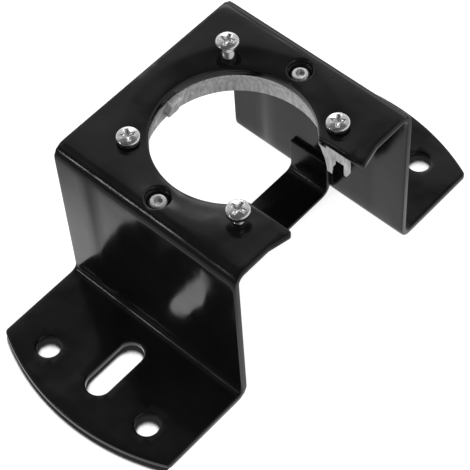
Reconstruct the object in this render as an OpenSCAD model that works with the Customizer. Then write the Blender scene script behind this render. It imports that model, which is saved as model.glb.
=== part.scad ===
// Ceiling fan mounting bracket: a folded steel hat with a ball seat, a cross strap, four canopy
// screws and two rivets. It stands on its feet. The origin is midway between the two foot slots,
// in the plane of the feet's undersides. Z points up to the plate, Y runs from the near foot to
// the far foot, and X points to the edge where the slot opens.

/* [Folded sheet] */
// Width of the blank, along the folds
plate_w = 80.4; // [78:0.2:96]
// Thickness of the steel sheet
sheet_t = 2.5; // [1.6:0.1:3]
// Height of the plate's upper face above the feet's undersides
plate_h = 71.5; // [55:0.5:120]
// Distance from a rivet's axis to the outer face of the wall beside it, before the folds shift
wall_gap = 9.2; // [8.5:0.1:14]
// How far both walls sit to the far side of the opening's centre
fold_shift = 1; // [0:0.25:1.5]
// Inside radius of every fold
bend_r = 2.5; // [1:0.25:4]

/* [Ball opening] */
// Diameter of the hanger ball that hangs in the opening
ball_d = 62; // [56:0.5:68]
// How much the opening's radius falls short of the ball's
ball_hold = 3; // [2:0.1:5]
// How far the opening's centre sits from the blank's middle, towards the slot
opening_x = 1.2; // [0:0.2:3]
// Width of the slot from the opening to the plate's edge
slot_w = 34.2; // [28:0.2:38]
// How far the plate's edge bulges out at the slot's mouth
ear_reach = 1.8; // [0.5:0.1:3]
// Length of the ramp from the straight edge to the bulge
ear_ramp = 8; // [4:0.5:12]
// Corner radius of the bulge at the slot's mouth
ear_corner_r = 1.5; // [0.5:0.1:1.5]
// How far the opening's rim is drawn down below the plate
rim_drop = 1.4; // [0.8:0.1:2.4]
// Thickness of the drawn rim
rim_t = 2.4; // [1.6:0.1:2.8]
// Radius of the rounding at the rim's upper edge
rim_round_r = 0.8; // [0.4:0.1:0.9]

/* [Feet] */
// How far the feet reach from the walls, at the middle of their round ends
foot_reach = 44.5; // [42:0.5:60]
// Corner radius where a foot's round end meets its sides
foot_corner_r = 2; // [1:0.5:5]
// Distance from a wall to the nearer end of the foot's slot
foot_slot_gap = 7.7; // [7:0.1:10]
// Length of a foot's slot, end to end
foot_slot_l = 25; // [14:0.5:28]
// Width of a foot's slot
foot_slot_w = 9.4; // [5:0.2:12]
// Diameter of the round holes in the feet
foot_hole_d = 8.7; // [4:0.1:10]
// Distance between the two round holes of one foot
foot_hole_pitch = 47.5; // [36:0.5:58]
// Distance from a wall to the centres of the round holes
foot_hole_gap = 28.9; // [16:0.1:30]

/* [Rivets and dimples] */
// Distance from the outside of the ball seat to a rivet's axis
rivet_gap = 2; // [1.6:0.1:3]
// Diameter of a rivet's shank
rivet_d = 3.9; // [3:0.1:4.5]
// Diameter of a rivet's flange
rivet_flange_d = 6.4; // [5.6:0.1:6.6]
// Thickness of a rivet's flange
rivet_flange_h = 1; // [0.6:0.1:1.4]
// Diameter of the hollow in a rivet's top
rivet_hollow_d = 2.8; // [1.5:0.1:2.8]
// Depth of the hollow in a rivet's top
rivet_hollow_h = 1.7; // [0.8:0.1:3]
// Diameter of the head that setting forms on a rivet's lower end
rivet_set_d = 5.8; // [5:0.1:7]
// Height of that head
rivet_set_h = 1.6; // [1:0.1:2.4]
// Depth of a dimple below the plate's upper face
dimple_depth = 3; // [2.2:0.1:3.4]
// Radius of a dimple where it leaves the plate's upper face
dimple_rim_r = 5.6; // [5.4:0.1:6]
// Radius of the rounding at a dimple's rim
dimple_round_r = 1.4; // [0.8:0.1:1.4]
// Radius of the rounding at a dimple's floor
dimple_floor_round_r = 0.8; // [0.4:0.1:0.8]
// Thickness of the drawn wall round a dimple
dimple_wall_t = 1.6; // [1.2:0.1:1.8]

/* [Canopy screws] */
// Distance from the outside of the ball seat to a screw's axis
screw_gap = 1.57; // [1.3:0.01:4]
// Diameter of a screw's shank
screw_d = 4.1; // [3:0.1:4.5]
// Length of a screw below its head
screw_l = 10; // [9:0.5:16]
// Diameter of a screw's head
screw_head_d = 8.2; // [6:0.1:9]
// Height of a screw's head
screw_head_h = 2.6; // [2:0.1:3.2]
// Gap under the head of the far screw at the closed edge
lift_1 = 5; // [0.3:0.1:5.5]
// Gap under the head of the near screw at the closed edge
lift_2 = 0.6; // [0.3:0.1:5.5]
// Gap under the head of the near screw at the slotted edge
lift_3 = 3.2; // [0.3:0.1:5.5]
// Gap under the head of the far screw at the slotted edge
lift_4 = 0.6; // [0.3:0.1:5.5]
// How far each screw is turned, in the order of their lifts
turn_1 = 20; // [0:1:90]
turn_2 = 55; // [0:1:90]
turn_3 = 8; // [0:1:90]
turn_4 = 35; // [0:1:90]
// Width of the cross recess's arms, as a share of the head's diameter
recess_w = 0.12; // [0.08:0.01:0.16]
// Length of the cross recess's arms, as a share of the head's diameter
recess_l = 0.55; // [0.4:0.01:0.7]
// Depth of the cross recess, as a share of the head's height
recess_h = 0.62; // [0.4:0.01:0.75]
// Height of a screw's tapered tip, as a share of its diameter
tip_taper = 0.17; // [0.1:0.01:0.25]

/* [Ball seat] */
// How far the seat's upper lip stands inside the opening's edge
seat_lip = 0.1; // [0:0.1:0.8]
// Depth of the seat's ring below the plate
seat_h = 12.9; // [10:0.1:13.5]
// Thickness of the seat's wall
seat_t = 1.8; // [1.2:0.1:2.2]
// Depth of the cheeks below the plate
cheek_h = 9.5; // [7:0.5:10]
// How far the cheeks reach past the ring's end, along the slot
cheek_reach = 8.4; // [7:0.1:11]
// Width of the thin leg at a cheek's end
cheek_leg_w = 1.4; // [1:0.1:2.5]
// Width of the notch between the leg and the ring
cheek_notch_w = 5; // [2:0.1:6]
// Height of the cheek's web above the notch
cheek_web_h = 4.4; // [2:0.1:6]
// Width of the key that stands out of the ring's inner face
key_w = 5.2; // [3:0.1:8]
// How far the key stands out of that face
key_reach = 2.4; // [1:0.1:3]
// Depth of the key's lower end below the plate
key_h = 9.9; // [8:0.1:10]
// Radius of the key's lower corners
key_corner_r = 1.2; // [0.4:0.1:1.5]
// Diameter of the gate mark on the key's side
gate_d = 1.6; // [0.8:0.1:1.6]
// Depth of the gate mark
gate_h = 0.9; // [0.4:0.1:1]
// Radius of the lug under each dimple
lug_r = 4.2; // [3.4:0.1:4.8]
// Thickness of the lugs
lug_t = 2.5; // [1.5:0.1:3.5]

/* [Cross strap] */
// Width of the strap
strap_w = 17.8; // [10:0.2:30]
// Thickness of the strap
strap_t = 1.8; // [1:0.1:2.5]
// Place of the strap's middle, from the blank's middle
strap_x = -2.2; // [-8:0.2:8]
// Height of the strap's underside above the feet's undersides
strap_lift = 0.5; // [0:0.1:3]
// Height that the strap's turned up ends reach to
strap_top = 18; // [10:0.5:24]
// Inside radius of the strap's folds
strap_bend_r = 3; // [1:0.25:4]

/* [Fits] */
// Gap all round between a screw or rivet and its hole
hole_clear = 0.05; // [0.02:0.01:0.1]
// Gap between the seat and the outside of a dimple
seat_clear = 0.15; // [0.1:0.05:0.4]

/* [Hidden] */
$fn = 96;
// Facets of the preview's large circles
large_fn = 240;

// How far a cutting shape runs past the face that it cuts
past = 1;

ball_r = ball_d / 2;
seat_out_r = ball_r + seat_t;
opening_r = ball_r - ball_hold;
slot_half = slot_w / 2;

rivet_y = seat_out_r + rivet_gap;
screw_half_pitch = (seat_out_r + screw_gap) / sqrt(2);

bend_out_r = bend_r + sheet_t;
wall_half = rivet_y + wall_gap;
foot_r = wall_half + foot_reach;
plate_under = plate_h - sheet_t;
rim_low = plate_under - rim_drop;
rim_out_r = opening_r + rim_t;
edge_x = plate_w / 2;
mouth_x = edge_x + ear_reach;

foot_slot_mid = wall_half + foot_slot_gap + foot_slot_l / 2;
foot_hole_y = wall_half + foot_hole_gap;

dimple_floor = plate_h - dimple_depth;
dimple_inner_r = dimple_rim_r - dimple_round_r;
dimple_flat_r = dimple_inner_r - dimple_floor_round_r;
dimple_outer_round_r = dimple_floor_round_r + dimple_wall_t;
lug_top = dimple_floor - sheet_t;
lug_low = lug_top - lug_t;

seat_lip_r = opening_r - seat_lip;
ball_z = rim_low - sqrt(ball_r * ball_r - seat_lip_r * seat_lip_r);
seat_low = plate_under - seat_h;
cheek_low = plate_under - cheek_h;
key_low = plate_under - key_h;
cheek_end = sqrt(ball_r * ball_r - slot_half * slot_half) + cheek_reach;

strap_half = wall_half - sheet_t;
strap_bend_out_r = strap_bend_r + strap_t;

screw_head_round_r = screw_head_h / 2;

// Puts what a child draws at a screw, by the signs of its X and Y from the opening's centre
module at_screw(sign_x, sign_y) {
    translate([opening_x + sign_x * screw_half_pitch, sign_y * screw_half_pitch, 0]) children();
}

// A quarter of a flat ring, in the quarter turn that starts at an angle
module quarter_ring(r_in, r_out, start) {
    intersection() {
        difference() {
            circle(r_out);
            circle(r_in);
        }
        rotate(start) square(2 * r_out);
    }
}

// Draws a section of the Y and Z axes as a bar along X, centred on X
module along_x(length) {
    rotate([90, 0, 90]) linear_extrude(length, center = true) children();
}

// One wall with its two folds and its foot, seen along X
module wall_section() {
    translate([wall_half - bend_out_r, plate_h - bend_out_r]) quarter_ring(bend_r, bend_out_r, 0);
    translate([wall_half - sheet_t, bend_out_r]) square([sheet_t, plate_h - 2 * bend_out_r]);
    translate([wall_half + bend_r, bend_out_r]) quarter_ring(bend_r, bend_out_r, 180);
    translate([wall_half + bend_r, 0]) square([foot_reach + past, sheet_t]);
}

// The whole folded sheet, seen along X
module hat_section() {
    translate([fold_shift, 0]) {
        translate([-(wall_half - bend_out_r), plate_under])
            square([2 * (wall_half - bend_out_r), sheet_t]);
        wall_section();
        mirror([1, 0]) wall_section();
    }
}

// What the rounding takes off one corner of a foot, between its straight side and its round end
module foot_corner_cut(sign_x, sign_y) {
    centre_x = sign_x * (edge_x - foot_corner_r);
    arm_x = centre_x - opening_x;
    arm_y = sqrt(pow(foot_r - foot_corner_r, 2) - arm_x * arm_x);
    stretch = (foot_r + past) / (foot_r - foot_corner_r);
    out_x = sign_x * (edge_x + past);
    out_y = arm_y * stretch;
    scale([1, sign_y]) difference() {
        polygon([
            [centre_x, arm_y], [out_x, arm_y], [out_x, out_y], [opening_x + arm_x * stretch, out_y]
        ]);
        translate([centre_x, arm_y]) circle(foot_corner_r);
    }
}

// The bulge of the plate's edge on one side of the slot's mouth
module ear(sign_y) {
    ramp_end = slot_half + ear_corner_r;
    scale([1, sign_y]) difference() {
        polygon([
            [edge_x - past, ramp_end + ear_ramp], [edge_x, ramp_end + ear_ramp],
            [mouth_x, ramp_end], [mouth_x, slot_half], [edge_x - past, slot_half]
        ]);
        translate([mouth_x - ear_corner_r, slot_half + ear_corner_r])
            quarter_ring(ear_corner_r, 2 * ear_corner_r, 270);
    }
}

// The blank's outline, seen from above
module blank_outline() {
    difference() {
        intersection() {
            square([plate_w, 2 * foot_r + past], center = true);
            translate([opening_x, 0]) circle(foot_r, $fn = large_fn);
        }
        for (sign_x = [-1, 1], sign_y = [-1, 1]) foot_corner_cut(sign_x, sign_y);
    }
    for (sign_y = [-1, 1]) ear(sign_y);
}

// The round opening's hole with the rounding of its upper edge, turned about the opening's axis
module opening_hole() {
    rotate_extrude() difference() {
        union() {
            translate([0, rim_low - past]) square([opening_r, plate_h - rim_low + 2 * past]);
            translate([0, plate_h - rim_round_r])
                square([opening_r + rim_round_r, rim_round_r + past]);
        }
        translate([opening_r + rim_round_r, plate_h - rim_round_r]) circle(rim_round_r);
    }
}

// The hole of one foot's slot, seen from above, about its own middle
module foot_slot_outline() {
    run = foot_slot_l - foot_slot_w;
    square([foot_slot_w, run], center = true);
    for (sign_y = [-1, 1]) translate([0, sign_y * run / 2]) circle(d = foot_slot_w);
}

// The hollow of a dimple, turned about the rivet's axis
module dimple_hollow() {
    rotate_extrude() difference() {
        union() {
            translate([0, dimple_floor + dimple_floor_round_r])
                square([dimple_inner_r, dimple_depth + past]);
            translate([0, dimple_floor]) square([dimple_flat_r, dimple_depth]);
            translate([dimple_flat_r, dimple_floor + dimple_floor_round_r])
                circle(dimple_floor_round_r);
            translate([0, plate_h - dimple_round_r]) square([dimple_rim_r, dimple_round_r + past]);
        }
        translate([dimple_rim_r, plate_h - dimple_round_r]) circle(dimple_round_r);
        translate([-past, dimple_floor - past]) square([past, dimple_depth + 2 * past]);
    }
}

// The outside of a dimple below the plate, turned about the rivet's axis, grown by a gap
module dimple_outside(gap) {
    round_r = dimple_outer_round_r + gap;
    round_z = lug_top + dimple_outer_round_r;
    rotate_extrude() intersection() {
        union() {
            translate([0, lug_top]) square([dimple_flat_r, plate_under - lug_top]);
            translate([dimple_flat_r, round_z]) circle(round_r);
            translate([0, round_z]) square([dimple_flat_r + round_r, plate_under - round_z]);
        }
        translate([0, lug_top]) square([dimple_flat_r + round_r, plate_under - lug_top]);
    }
}

// The folded sheet, with everything that is pierced, drawn or drilled in it
module hanger_bracket() {
    color([0.05, 0.05, 0.055]) difference() {
        union() {
            intersection() {
                along_x(2 * (mouth_x + past)) hat_section();
                translate([0, 0, -past]) linear_extrude(plate_h + 2 * past) blank_outline();
            }
            translate([opening_x, 0, rim_low]) cylinder(r = rim_out_r, h = rim_drop + sheet_t / 2);
            for (sign_y = [-1, 1]) translate([0, sign_y * rivet_y, 0]) dimple_outside(0);
        }
        translate([opening_x, 0, 0]) opening_hole();
        translate([opening_x, -slot_half, rim_low - past])
            cube([mouth_x, slot_w, plate_h - rim_low + 2 * past]);
        for (sign_y = [-1, 1]) {
            translate([0, sign_y * rivet_y, 0]) {
                dimple_hollow();
                translate([0, 0, lug_top - past])
                    cylinder(r = rivet_d / 2 + hole_clear, h = sheet_t + 2 * past);
            }
            translate([0, sign_y * foot_slot_mid, -past])
                linear_extrude(sheet_t + 2 * past) foot_slot_outline();
            for (sign_x = [-1, 1])
                translate([sign_x * foot_hole_pitch / 2, sign_y * foot_hole_y, -past])
                    cylinder(d = foot_hole_d, h = sheet_t + 2 * past);
        }
        for (sign_x = [-1, 1], sign_y = [-1, 1])
            at_screw(sign_x, sign_y) translate([0, 0, plate_under - past])
                cylinder(r = screw_d / 2 + hole_clear, h = sheet_t + 2 * past);
    }
}

// One end of the strap, turned up against a wall, seen along X
module strap_end_section() {
    translate([strap_half - strap_bend_out_r, strap_lift + strap_bend_out_r])
        quarter_ring(strap_bend_r, strap_bend_out_r, 270);
    translate([strap_half - strap_t, strap_lift + strap_bend_out_r])
        square([strap_t, strap_top - strap_lift - strap_bend_out_r]);
}

// The strap that ties the two walls together across the bottom of the hat
module cross_strap() {
    color([0.04, 0.04, 0.045]) translate([strap_x, fold_shift, 0]) along_x(strap_w) {
        translate([-(strap_half - strap_bend_out_r), strap_lift])
            square([2 * (strap_half - strap_bend_out_r), strap_t]);
        strap_end_section();
        mirror([1, 0]) strap_end_section();
    }
}

// The seat's ring: a zone of a round shell about the ball's centre
module seat_ring() {
    rotate_extrude() intersection() {
        translate([0, ball_z]) difference() {
            circle(seat_out_r, $fn = large_fn);
            circle(ball_r, $fn = large_fn);
        }
        translate([0, seat_low]) square([seat_out_r, rim_low - seat_low]);
    }
}

// A cheek's outline, seen along Y: a web under the plate with a notch and a round-tipped leg
module cheek_outline() {
    leg_x = cheek_end - cheek_leg_w;
    tip_r = cheek_leg_w / 2;
    web_low = plate_under - cheek_web_h;
    translate([0, web_low]) square([cheek_end, cheek_web_h]);
    translate([0, cheek_low]) square([leg_x - cheek_notch_w, cheek_h]);
    translate([leg_x, cheek_low + tip_r]) square([cheek_leg_w, cheek_h - tip_r]);
    translate([leg_x + tip_r, cheek_low + tip_r]) circle(tip_r);
}

// The cheek along one side of the slot, flush with the slot's side
module cheek(sign_y) {
    translate([0, sign_y * (slot_half + seat_t / 2) + seat_t / 2, 0])
        rotate([90, 0, 0]) linear_extrude(seat_t) cheek_outline();
}

// The lug under one dimple, from the ring to the rivet
module lug(sign_y) {
    translate([-opening_x, 0, lug_low]) linear_extrude(lug_t) {
        translate([0, sign_y * rivet_y]) circle(lug_r);
        translate([-lug_r, sign_y > 0 ? ball_r : -rivet_y]) square([2 * lug_r, rivet_y - ball_r]);
    }
}

// The key's outline, seen along X, with its two lower corners rounded
module key_outline() {
    half_w = key_w / 2 - key_corner_r;
    translate([-key_w / 2, key_low + key_corner_r])
        square([key_w, rim_low - key_low - key_corner_r]);
    translate([-half_w, key_low]) square([2 * half_w, key_h / 2]);
    for (sign_y = [-1, 1]) translate([sign_y * half_w, key_low + key_corner_r]) circle(key_corner_r);
}

// The key at the closed side, a rib of even height that stops the ball from turning
module key() {
    intersection() {
        translate([-seat_out_r, 0, 0]) rotate([90, 0, 90])
            linear_extrude(seat_out_r / 2) key_outline();
        translate([0, 0, ball_z]) difference() {
            sphere(ball_r + seat_t / 2, $fn = large_fn);
            sphere(ball_r - key_reach, $fn = large_fn);
        }
    }
}

// The gate mark on the near side of the key, a blind round pocket
module gate_mark() {
    mark_z = key_low + key_corner_r + gate_d / 2;
    mark_x = sqrt(pow(ball_r - key_reach / 2, 2) - pow(mark_z - ball_z, 2));
    translate([-mark_x, gate_h - key_w / 2, mark_z])
        rotate([90, 0, 0]) cylinder(d = gate_d, h = gate_h + past / 2);
}

// The moulded seat that the hanger ball rests in
module ball_seat() {
    color([0.62, 0.62, 0.61]) translate([opening_x, 0, 0]) difference() {
        union() {
            difference() {
                union() {
                    seat_ring();
                    for (sign_y = [-1, 1]) {
                        cheek(sign_y);
                        lug(sign_y);
                    }
                }
                translate([0, 0, ball_z]) sphere(ball_r, $fn = large_fn);
            }
            key();
        }
        gate_mark();
        translate([0, 0, rim_low]) cylinder(r = rim_out_r + seat_clear, h = rim_drop + past);
        translate([0, -slot_half, seat_low - past]) cube([ball_d, slot_w, seat_h + 2 * past]);
        for (sign_y = [-1, 1]) translate([-opening_x, sign_y * rivet_y, 0]) {
            dimple_outside(seat_clear);
            translate([0, 0, lug_low - past])
                cylinder(r = rivet_d / 2 + hole_clear, h = lug_t + 2 * past);
            translate([0, 0, seat_low - past])
                cylinder(r = rivet_set_d / 2 + seat_clear, h = lug_low - seat_low + past);
        }
    }
}

// The cross recess of a screw's head, from the head's top down
module cross_recess() {
    depth = recess_h * screw_head_h;
    arm_l = recess_l * screw_head_d;
    arm_w = recess_w * screw_head_d;
    translate([0, 0, screw_head_h - depth]) intersection() {
        cylinder(h = depth + past, r1 = arm_w, r2 = arm_l / 2 + arm_w / 2);
        union() {
            translate([-arm_l / 2, -arm_w / 2, 0]) cube([arm_l, arm_w, depth + past]);
            translate([-arm_w / 2, -arm_l / 2, 0]) cube([arm_w, arm_l, depth + past]);
        }
    }
}

// A pan head screw with its underside of head on the XY plane, pointing down
module pan_screw() {
    head_r = screw_head_d / 2;
    tip = tip_taper * screw_d;
    difference() {
        rotate_extrude() {
            square([head_r, screw_head_h - screw_head_round_r]);
            square([head_r - screw_head_round_r, screw_head_h]);
            intersection() {
                translate([head_r - screw_head_round_r, screw_head_h - screw_head_round_r])
                    circle(screw_head_round_r);
                square([head_r, screw_head_h]);
            }
        }
        cross_recess();
    }
    translate([0, 0, tip - screw_l]) cylinder(d = screw_d, h = screw_l - tip);
    translate([0, 0, -screw_l]) cylinder(d1 = screw_d - 2 * tip, d2 = screw_d, h = tip);
}

// A canopy screw in its hole, with its head a gap above the plate, turned by an angle
module canopy_screw(sign_x, sign_y, lift, turn) {
    color([0.78, 0.78, 0.8]) at_screw(sign_x, sign_y)
        translate([0, 0, plate_h + lift]) rotate(turn) pan_screw();
}

module canopy_screw_1() {
    canopy_screw(-1, 1, lift_1, turn_1);
}

module canopy_screw_2() {
    canopy_screw(-1, -1, lift_2, turn_2);
}

module canopy_screw_3() {
    canopy_screw(1, -1, lift_3, turn_3);
}

module canopy_screw_4() {
    canopy_screw(1, 1, lift_4, turn_4);
}

// A hollow rivet in its dimple, from the flange on the floor to the head formed below the lug
module rivet(sign_y) {
    flange_r = rivet_flange_d / 2;
    round_r = rivet_flange_h / 2;
    set_r = rivet_set_d / 2;
    color([0.75, 0.75, 0.77]) translate([0, sign_y * rivet_y, 0]) difference() {
        rotate_extrude() {
            translate([0, dimple_floor]) square([flange_r, rivet_flange_h - round_r]);
            translate([0, dimple_floor]) square([flange_r - round_r, rivet_flange_h]);
            intersection() {
                translate([flange_r - round_r, dimple_floor + rivet_flange_h - round_r])
                    circle(round_r);
                translate([0, dimple_floor]) square([flange_r, rivet_flange_h]);
            }
            translate([0, lug_low]) square([rivet_d / 2, dimple_floor - lug_low]);
            intersection() {
                translate([0, lug_low - rivet_set_h]) square([set_r, rivet_set_h]);
                translate([set_r - rivet_set_h, lug_low]) circle(rivet_set_h);
            }
            translate([0, lug_low - rivet_set_h]) square([set_r - rivet_set_h, rivet_set_h]);
        }
        translate([0, 0, dimple_floor + rivet_flange_h - rivet_hollow_h])
            cylinder(d = rivet_hollow_d, h = rivet_hollow_h + past);
    }
}

module rivet_near() {
    rivet(-1);
}

module rivet_far() {
    rivet(1);
}

hanger_bracket();
cross_strap();
ball_seat();
canopy_screw_1();
canopy_screw_2();
canopy_screw_3();
canopy_screw_4();
rivet_near();
rivet_far();
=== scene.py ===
"""Looks of a ceiling fan mounting bracket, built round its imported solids.

Sizes are in millimetres, as on the bench, and become metres only where a mesh is written. X points to
the edge where the slot opens, Y from the near foot to the far foot, and Z up to the plate. Materials,
the table, the room and the lamps are in metres.
"""

import math

import bmesh
import bpy
import numpy as np
from mathutils import Matrix, Vector
from mathutils.geometry import delaunay_2d_cdt


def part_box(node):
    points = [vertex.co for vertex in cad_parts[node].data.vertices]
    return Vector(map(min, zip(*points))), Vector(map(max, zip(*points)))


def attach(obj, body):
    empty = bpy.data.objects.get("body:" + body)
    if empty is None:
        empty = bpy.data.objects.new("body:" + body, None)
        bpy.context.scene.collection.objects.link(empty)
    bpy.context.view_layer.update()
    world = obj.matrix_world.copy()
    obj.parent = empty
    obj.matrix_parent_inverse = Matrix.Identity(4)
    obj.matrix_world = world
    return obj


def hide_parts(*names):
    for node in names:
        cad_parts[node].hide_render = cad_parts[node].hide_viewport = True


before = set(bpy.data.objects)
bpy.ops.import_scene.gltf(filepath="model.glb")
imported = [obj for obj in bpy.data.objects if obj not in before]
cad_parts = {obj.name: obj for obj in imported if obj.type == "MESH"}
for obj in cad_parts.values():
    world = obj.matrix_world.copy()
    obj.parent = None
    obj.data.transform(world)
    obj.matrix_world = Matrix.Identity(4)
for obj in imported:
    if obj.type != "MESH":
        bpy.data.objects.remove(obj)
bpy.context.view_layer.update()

MM = 0.001
QUARTER = math.pi / 2


def box_mm(node):
    """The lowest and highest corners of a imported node, in millimetres."""
    low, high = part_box(node)
    return np.array(low) / MM, np.array(high) / MM


# The folded sheet, as the frame gives it and as it was drawn
SHEET_HIGH = box_mm("hanger_bracket")[1]
SHEET_T = 2.5
BEND_R = 2.5
FOLD_SHIFT = 1.0
WALL_HALF = 44.0
EDGE_X = 40.2
PLATE_H = SHEET_HIGH[2]
MOUTH_X = SHEET_HIGH[0]
FOOT_R = SHEET_HIGH[1]

# The ball opening and its slot
OPENING_X = 1.2
OPENING_R = 28.0
SLOT_HALF = 17.1
EAR_RAMP = 8.0
EAR_CORNER_R = 1.5

# The rim drawn down round the opening
RIM_DROP = 1.4
RIM_T = 2.4
RIM_ROUND = 0.45
RIM_PROUD = 0.02
RIM_STEPS = 181

# The feet
FOOT_CORNER_R = 2.0
FOOT_SLOT_MID = 64.2
FOOT_SLOT_L = 25.0
FOOT_SLOT_W = 9.4
FOOT_HOLE_R = 4.35
FOOT_HOLE_X = 23.75
FOOT_HOLE_Y = 72.9

# The dimples, rivet holes and screw holes
RIVET_Y = 34.8
DIMPLE_DEPTH = 3.0
DIMPLE_FLAT_R = 3.25
DIMPLE_RIM_R = 4.8
RIVET_HOLE_R = 2.0
SCREW_HOLE_R = 2.1
SCREW_OFF = 24.3

# How the sheet's edges are rounded by the punch and the paint, above and below
ROUND_TOP = 0.7
ROUND_UNDER = 0.4
ROUND_LINES = 6

# How far the plate dips at the opening, at its very edge, at the rivets and at the screws, how wide
# each dip is, and how far from a fold the dips fade out
OPENING_DISH = 0.2
OPENING_DISH_W = 9.5
OPENING_DISH_POWER = 1.3
OPENING_LIP = 0.15
OPENING_LIP_W = 2.6
OPENING_LIP_POWER = 2
RIVET_DISH = 0.3
RIVET_DISH_W = 7.0
SCREW_DISH = 0.22
SCREW_DISH_W = 5.5
DISH_FADE = 6

# How far the walls' outer thirds lean outwards past their creases, and the plate towards its opening
CREASE_X = 24.5
CREASE_W = 3.0
LEFT_LEAN = 0.06
RIGHT_LEAN = 0.08
CREASE_LEAN = 0.12
DISH_LEAN = 0.07
DISH_LEAN_R = (36.0, 39.5)
WALL_FADE = 2
PLATE_FADE = 3

# The run of the blank on either side of the folds' middle: plate, fold, wall, fold, foot
MIDDLE_R = BEND_R + SHEET_T / 2
FOLD_RUN = QUARTER * MIDDLE_R
PLATE_RUN = WALL_HALF - BEND_R - SHEET_T
WALL_RUN = PLATE_H - 2 * (BEND_R + SHEET_T)
WALL_START = PLATE_RUN + FOLD_RUN
WALL_END = WALL_START + WALL_RUN
FOOT_START = WALL_END + FOLD_RUN
FOOT_Y = WALL_HALF + BEND_R

# How far apart points lie on arcs and straight edges of the blank, from the longest to the smallest
ARC_STEP = 0.8
EDGE_STEP = 2.0
FINE_EDGE_STEP = 1.0
SLOT_STEP = 0.5
HOLE_STEP = 0.4
CORNER_STEP = 0.3

# The points inside the blank: for each set, its step, and the gap that it keeps from the sets before
EDGE_GAP = 0.45
DIMPLE_RINGS, DIMPLE_STEP, DIMPLE_GAP = 16, 0.7, 0.3
DIMPLE_RING_MARGINS = (1.2, 1.6)
FOLD_ROWS, FOLD_COLUMNS, FOLD_EDGE, FOLD_GAP = 10, 48, 2, 0.5
BOSS_RINGS, BOSS_STEP, BOSS_GAP = (3.4, 10, 1.1), 1.3, 0.8
DISH_RINGS, DISH_STEP, DISH_GAP = (1.6, 11, 1.1), 1.6, 0.9
FLAT_COLUMNS, FLAT_ROWS, FLAT_GAP = (-38.5, 39, 2.75), (-150, 151, 3.0), 1.6


def smooth(t):
    """Goes from 0 to 1 with level ends: three t squared less two t cubed."""
    t = np.clip(t, 0.0, 1.0)
    return t * t * (3 - 2 * t)


def write_mesh(name, points, faces, material):
    """Makes a smooth-shaded piece from points in millimetres, on the one body, with its slot."""
    mesh = bpy.data.meshes.new(name)
    mesh.from_pydata((np.asarray(points) * MM).tolist(), [], faces)
    mesh.validate()
    mesh.update()
    mesh.polygons.foreach_set("use_smooth", np.ones(len(mesh.polygons), bool))
    mesh.materials.append(material)
    piece = bpy.data.objects.new(name, mesh)
    bpy.context.scene.collection.objects.link(piece)
    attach(piece, "root")
    return piece


def point_outwards(piece):
    """Turns the faces of a closed mesh outwards."""
    work = bmesh.new()
    work.from_mesh(piece.data)
    bmesh.ops.recalc_face_normals(work, faces=work.faces)
    work.to_mesh(piece.data)
    work.free()


def grid_faces(rows, columns, closed_columns):
    """The quads of a grid of points numbered row by row, joined round its columns if closed."""
    row = np.arange(rows - 1)[:, None]
    column = np.arange(columns if closed_columns else columns - 1)[None, :]
    after = (column + 1) % columns
    corners = (row * columns + column, (row + 1) * columns + column)
    corners += ((row + 1) * columns + after, row * columns + after)
    return np.stack([c.ravel() for c in corners], axis=1)


# Shader nodes

# The share of a noise pattern's range that most of it lies in
PATTERN_MIDDLE = (0.3, 0.7)


def node(tree, kind, **values):
    """Adds a shader node. Values that name an input set it, and the others set the node itself."""
    made = tree.nodes.new(kind)
    for name, value in values.items():
        label = name.replace("_", " ").title()
        if label in made.inputs:
            made.inputs[label].default_value = value
        else:
            setattr(made, name, value)
    return made


def worked(tree, kind, operation, terms):
    """Adds a maths node that works on sockets and plain values."""
    made = node(tree, kind, operation=operation)
    for place, term in zip(made.inputs, terms):
        if isinstance(term, bpy.types.NodeSocket):
            tree.links.new(term, place)
        else:
            place.default_value = term
    return made


def maths(tree, operation, *terms):
    """The result of a sum on numbers."""
    return worked(tree, "ShaderNodeMath", operation, terms).outputs["Value"]


def vector_maths(tree, operation, *terms, result="Vector"):
    """The result of a sum on vectors, which is a vector or a plain value."""
    return worked(tree, "ShaderNodeVectorMath", operation, terms).outputs[result]


def remapped(tree, source, span, low, high, kind="LINEAR"):
    """Goes from low to high as the source goes through a span."""
    made = node(
        tree, "ShaderNodeMapRange", interpolation_type=kind,
        from_min=span[0], from_max=span[1], to_min=low, to_max=high,
    )
    tree.links.new(source, made.inputs["Value"])
    return made.outputs["Result"]


def object_place(tree):
    """The place on the object, in its own space."""
    return node(tree, "ShaderNodeTexCoord").outputs["Object"]


def material_with(name):
    """A new material, its node tree and its principled shader."""
    made = bpy.data.materials.new(name)
    made.use_nodes = True
    return made, made.node_tree, made.node_tree.nodes["Principled BSDF"]


def noise(tree, place, scale, detail, stretch=(1, 1, 1)):
    """A noise pattern in object space, with features about a metre over the scale wide."""
    mapping = node(tree, "ShaderNodeMapping", scale=stretch)
    tree.links.new(place, mapping.inputs["Vector"])
    made = node(tree, "ShaderNodeTexNoise", scale=scale, detail=detail)
    tree.links.new(mapping.outputs["Vector"], made.inputs["Vector"])
    return made.outputs["Fac"]


def bump(tree, height, distance, strength, below=None):
    """A bump of a height in metres, laid over another bump."""
    made = node(tree, "ShaderNodeBump", distance=distance, strength=strength)
    tree.links.new(height, made.inputs["Height"])
    if below is not None:
        tree.links.new(below, made.inputs["Normal"])
    return made.outputs["Normal"]


def leaned(tree):
    """The surface's normal, leaned over by the sheet's own lean where it has one."""
    own = node(tree, "ShaderNodeNewGeometry").outputs["Normal"]
    lean = node(tree, "ShaderNodeAttribute", attribute_name="lean").outputs["Vector"]
    return vector_maths(tree, "NORMALIZE", vector_maths(tree, "ADD", own, lean))


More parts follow.
